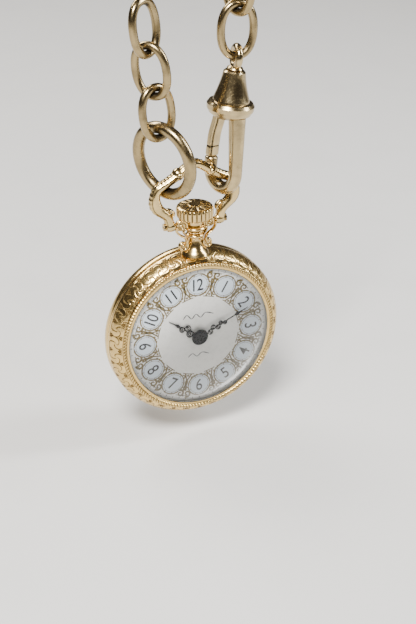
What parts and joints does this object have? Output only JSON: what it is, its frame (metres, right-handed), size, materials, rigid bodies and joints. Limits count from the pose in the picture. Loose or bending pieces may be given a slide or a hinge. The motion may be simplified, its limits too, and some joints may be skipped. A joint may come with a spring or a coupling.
{
  "type": "pendant fob watch",
  "caption": "Small round open-faced pendant watch with a scroll bow and keyless movement, hung from two strands of chain by a ring and a swivel clip.",
  "frame": {"origin": "centre of the watch's flat back", "axes": "+Z towards 12 o'clock and up the chain, +Y out of the back, the dial faces -Y"},
  "size_m": [0.03, 0.0107, 0.077],
  "materials": {
    "chain_link_left_3": "satin antique brass",
    "chain_link_right_2": "satin antique brass",
    "chain_link_left_2": "satin antique brass",
    "chain_link_left_1": "satin antique brass",
    "end_ring": "satin antique brass",
    "bow": "polished gold plate, dark in the recesses",
    "case_middle": "polished gold plate, dark in the recesses",
    "bezel": "polished gold plate, dark in the recesses",
    "crystal": "clear polished",
    "pendant_neck": "polished gold plate, dark in the recesses",
    "bow_pivot_pins": "polished gold plate, dark in the recesses",
    "movement_ring": "fine-brushed nickel plate",
    "case_screws": "polished steel",
    "dial": "white enamel",
    "mainplate": "fine-brushed nickel plate",
    "barrel_bridge": "fine-brushed nickel plate",
    "train_bridge": "fine-brushed nickel plate",
    "balance_cock": "fine-brushed nickel plate",
    "pallet_cock": "fine-brushed nickel plate",
    "bridge_screws": "polished steel",
    "jewels": "polished red corundum",
    "regulator": "polished steel",
    "back_cover": "polished gold plate, dark in the recesses",
    "crown_gasket": "black rubber",
    "crown": "polished gold plate, dark in the recesses",
    "winding_stem": "polished steel",
    "winding_pinion": "polished steel",
    "clutch": "polished steel",
    "setting_lever": "polished steel",
    "yoke": "polished steel",
    "crown_wheel": "polished steel",
    "ratchet_wheel": "polished steel",
    "barrel_arbor": "polished steel",
    "click": "polished steel",
    "minute_hand": "gloss black",
    "cannon_pinion": "polished steel",
    "hour_hand": "gloss black",
    "hour_wheel": "bright brass",
    "minute_wheel": "bright brass",
    "setting_wheel": "polished steel",
    "centre_wheel": "bright brass",
    "barrel_drum": "fine-brushed nickel plate",
    "barrel_lid": "fine-brushed nickel plate",
    "mainspring": "polished steel",
    "third_wheel": "bright brass",
    "fourth_wheel": "bright brass",
    "escape_wheel": "polished steel",
    "pallet_fork": "polished steel",
    "balance_wheel": "bright brass",
    "hairspring": "blued steel",
    "chain_link_right_1": "satin antique brass",
    "swivel_eye": "satin antique brass",
    "swivel_bell": "satin antique brass",
    "clip_hook": "satin antique brass",
    "gate_pin": "satin antique brass",
    "clip_gate": "satin antique brass"
  },
  "bodies": {
    "chain_ends": {"chain_link_left_3": "chain_link_left_3", "chain_link_right_2": "chain_link_right_2"},
    "left_link_upper": {"chain_link_left_2": "chain_link_left_2"},
    "left_link_lower": {"chain_link_left_1": "chain_link_left_1"},
    "strand_ring": {"end_ring": "end_ring"},
    "bow_loop": {"bow": "bow"},
    "watch_case": {"case_middle": "case_middle", "bezel": "bezel", "crystal": "crystal", "pendant_neck": "pendant_neck", "bow_pivot_pins": "bow_pivot_pins", "movement_ring": "movement_ring", "case_screws": "case_screws", "dial": "dial", "mainplate": "mainplate", "barrel_bridge": "barrel_bridge", "train_bridge": "train_bridge", "balance_cock": "balance_cock", "pallet_cock": "pallet_cock", "bridge_screws": "bridge_screws", "jewels": "jewels", "regulator": "regulator"},
    "back": {"back_cover": "back_cover"},
    "crown_sleeve": {"crown_gasket": "crown_gasket"},
    "crown_and_stem": {"crown": "crown", "winding_stem": "winding_stem"},
    "pinion_slide": {"winding_pinion": "winding_pinion"},
    "clutch_slide": {"clutch": "clutch"},
    "lever": {"setting_lever": "setting_lever"},
    "yoke_arm": {"yoke": "yoke"},
    "crown_gear": {"crown_wheel": "crown_wheel"},
    "ratchet": {"ratchet_wheel": "ratchet_wheel", "barrel_arbor": "barrel_arbor"},
    "click_pawl": {"click": "click"},
    "minute_group": {"minute_hand": "minute_hand", "cannon_pinion": "cannon_pinion"},
    "hour_group": {"hour_hand": "hour_hand", "hour_wheel": "hour_wheel"},
    "minute_gear": {"minute_wheel": "minute_wheel"},
    "setting_gear": {"setting_wheel": "setting_wheel"},
    "centre_group": {"centre_wheel": "centre_wheel"},
    "barrel_group": {"barrel_drum": "barrel_drum", "barrel_lid": "barrel_lid", "mainspring": "mainspring"},
    "third_group": {"third_wheel": "third_wheel"},
    "fourth_group": {"fourth_wheel": "fourth_wheel"},
    "escape_group": {"escape_wheel": "escape_wheel"},
    "fork": {"pallet_fork": "pallet_fork"},
    "balance_group": {"balance_wheel": "balance_wheel", "hairspring": "hairspring"},
    "right_link": {"chain_link_right_1": "chain_link_right_1"},
    "clip_eye": {"swivel_eye": "swivel_eye"},
    "clip_body": {"swivel_bell": "swivel_bell", "clip_hook": "clip_hook", "gate_pin": "gate_pin"},
    "gate": {"clip_gate": "clip_gate"}
  },
  "joints": [
    {"name": "left_upper_swing", "type": "hinge", "parent": "chain_ends", "child": "left_link_upper", "pos_m": [-0.00711, -0.00515, 0.04863], "axis": [1, 0, 0], "range_deg": [-12, 12]},
    {"name": "left_lower_swing", "type": "hinge", "parent": "left_link_upper", "child": "left_link_lower", "pos_m": [-0.00629, -0.00515, 0.04194], "axis": [1, 0, 0], "range_deg": [-8, 8]},
    {"name": "ring_swing", "type": "hinge", "parent": "left_link_lower", "child": "strand_ring", "pos_m": [-0.00547, -0.00515, 0.03525], "axis": [1, 0, 0], "range_deg": [-8, 8]},
    {"name": "bow_swing", "type": "hinge", "parent": "strand_ring", "child": "bow_loop", "pos_m": [-0.0043, -0.00515, 0.02572], "axis": [1, 0, 0], "range_deg": [-8, 8]},
    {"name": "case_swing", "type": "hinge", "parent": "bow_loop", "child": "watch_case", "pos_m": [0, -0.00515, 0.0201], "axis": [1, 0, 0], "range_deg": [-50, 50]},
    {"name": "back_snap", "type": "slide", "parent": "watch_case", "child": "back", "axis": [0, 1, 0], "range_m": [0, 0.006]},
    {"name": "crown_pull", "type": "slide", "parent": "watch_case", "child": "crown_sleeve", "axis": [0, 0, 1], "range_m": [0, 0.0008]},
    {"name": "crown_turn", "type": "hinge", "parent": "crown_sleeve", "child": "crown_and_stem", "pos_m": [0, -0.00515, 0.021], "axis": [0, 0, 1], "continuous": true},
    {"name": "pinion_hold", "type": "slide", "parent": "crown_and_stem", "child": "pinion_slide", "axis": [0, 0, 1], "range_m": [-0.0008, 0]},
    {"name": "clutch_shift", "type": "slide", "parent": "crown_and_stem", "child": "clutch_slide", "axis": [0, 0, 1], "range_m": [-0.0013, 0]},
    {"name": "lever_swing", "type": "hinge", "parent": "watch_case", "child": "lever", "pos_m": [-0.0029, -0.0054, 0.0095], "axis": [0, -1, 0], "range_deg": [0, 21]},
    {"name": "yoke_swing", "type": "hinge", "parent": "watch_case", "child": "yoke_arm", "pos_m": [-0.0035, -0.0052, 0.0071], "axis": [0, -1, 0], "range_deg": [-11, 0]},
    {"name": "crown_wheel_turn", "type": "hinge", "parent": "watch_case", "child": "crown_gear", "pos_m": [0, -0.004, 0.0067], "axis": [0, 1, 0], "continuous": true},
    {"name": "ratchet_turn", "type": "hinge", "parent": "watch_case", "child": "ratchet", "pos_m": [0.00418, -0.004, 0.00351], "axis": [0, 1, 0], "continuous": true},
    {"name": "click_lift", "type": "hinge", "parent": "watch_case", "child": "click_pawl", "pos_m": [0.00883, -0.0016, 0.00252], "axis": [0, 1, 0], "range_deg": [0, 8]},
    {"name": "minute_turn", "type": "hinge", "parent": "watch_case", "child": "minute_group", "pos_m": [0, -0.006, 0], "axis": [0, 1, 0], "continuous": true},
    {"name": "hour_turn", "type": "hinge", "parent": "watch_case", "child": "hour_group", "pos_m": [0, -0.006, 0], "axis": [0, 1, 0], "continuous": true},
    {"name": "minute_wheel_turn", "type": "hinge", "parent": "watch_case", "child": "minute_gear", "pos_m": [-0.00042, -0.0052, 0.00236], "axis": [0, 1, 0], "continuous": true},
    {"name": "setting_wheel_turn", "type": "hinge", "parent": "watch_case", "child": "setting_gear", "pos_m": [-0.00031, -0.0052, 0.00536], "axis": [0, 1, 0], "continuous": true},
    {"name": "centre_turn", "type": "hinge", "parent": "watch_case", "child": "centre_group", "pos_m": [0, -0.004, 0], "axis": [0, 1, 0], "continuous": true},
    {"name": "barrel_turn", "type": "hinge", "parent": "watch_case", "child": "barrel_group", "pos_m": [0.00418, -0.004, 0.00351], "axis": [0, 1, 0], "continuous": true},
    {"name": "third_turn", "type": "hinge", "parent": "watch_case", "child": "third_group", "pos_m": [0.00069, -0.004, -0.0039], "axis": [0, 1, 0], "continuous": true},
    {"name": "fourth_turn", "type": "hinge", "parent": "watch_case", "child": "fourth_group", "pos_m": [-0.00226, -0.004, -0.0056], "axis": [0, 1, 0], "continuous": true},
    {"name": "escape_turn", "type": "hinge", "parent": "watch_case", "child": "escape_group", "pos_m": [-0.00483, -0.004, -0.00411], "axis": [0, 1, 0], "continuous": true},
    {"name": "fork_rock", "type": "hinge", "parent": "watch_case", "child": "fork", "pos_m": [-0.00525, -0.004, -0.00173], "axis": [0, 1, 0], "range_deg": [-4, 4]},
    {"name": "balance_swing", "type": "hinge", "parent": "watch_case", "child": "balance_group", "pos_m": [-0.0058, -0.0034, 0.00142], "axis": [0, 1, 0], "range_deg": [-135, 135], "stiffness_Nm_per_rad": 0.0000002},
    {"name": "right_link_swing", "type": "hinge", "parent": "chain_ends", "child": "right_link", "pos_m": [0.00732, -0.00515, 0.05329], "axis": [1, 0, 0], "range_deg": [-10, 10]},
    {"name": "eye_swing", "type": "hinge", "parent": "right_link", "child": "clip_eye", "pos_m": [0.00712, -0.00515, 0.04655], "axis": [1, 0, 0], "range_deg": [-10, 10]},
    {"name": "clip_swivel", "type": "hinge", "parent": "clip_eye", "child": "clip_body", "pos_m": [0.00634, -0.00515, 0.04029], "axis": [0.1229, 0, 0.9924], "range_deg": [-25, 2]},
    {"name": "gate_open", "type": "hinge", "parent": "clip_body", "child": "gate", "pos_m": [0.00541, -0.00326, 0.03808], "axis": [-0.9383, -0.3256, 0.1162], "range_deg": [0, 25], "stiffness_Nm_per_rad": 0.001, "springref_deg": -5.73}
  ],
  "couplings": [
    {"joint": "left_upper_swing", "follows": "right_link_swing", "ratio": 1.197},
    {"joint": "left_lower_swing", "follows": "eye_swing", "ratio": 0.8},
    {"joint": "ring_swing", "follows": "eye_swing", "ratio": 0.8},
    {"joint": "pinion_hold", "follows": "crown_pull", "ratio": -1},
    {"joint": "clutch_shift", "follows": "crown_pull", "ratio": -1.625},
    {"joint": "lever_swing", "follows": "crown_pull", "rad_per_m": 425.42},
    {"joint": "yoke_swing", "follows": "crown_pull", "rad_per_m": -218.17},
    {"joint": "crown_wheel_turn", "follows": "crown_turn", "ratio": -0.35},
    {"joint": "ratchet_turn", "follows": "crown_turn", "ratio": 0.21477},
    {"joint": "hour_turn", "follows": "minute_turn", "ratio": 0.083333},
    {"joint": "minute_wheel_turn", "follows": "minute_turn", "ratio": -0.33333},
    {"joint": "setting_wheel_turn", "follows": "minute_turn", "ratio": 0.5},
    {"joint": "centre_turn", "follows": "minute_turn", "ratio": 1},
    {"joint": "barrel_turn", "follows": "minute_turn", "ratio": -0.16667},
    {"joint": "third_turn", "follows": "minute_turn", "ratio": -8},
    {"joint": "fourth_turn", "follows": "minute_turn", "ratio": 60},
    {"joint": "escape_turn", "follows": "minute_turn", "ratio": -600}
  ]
}
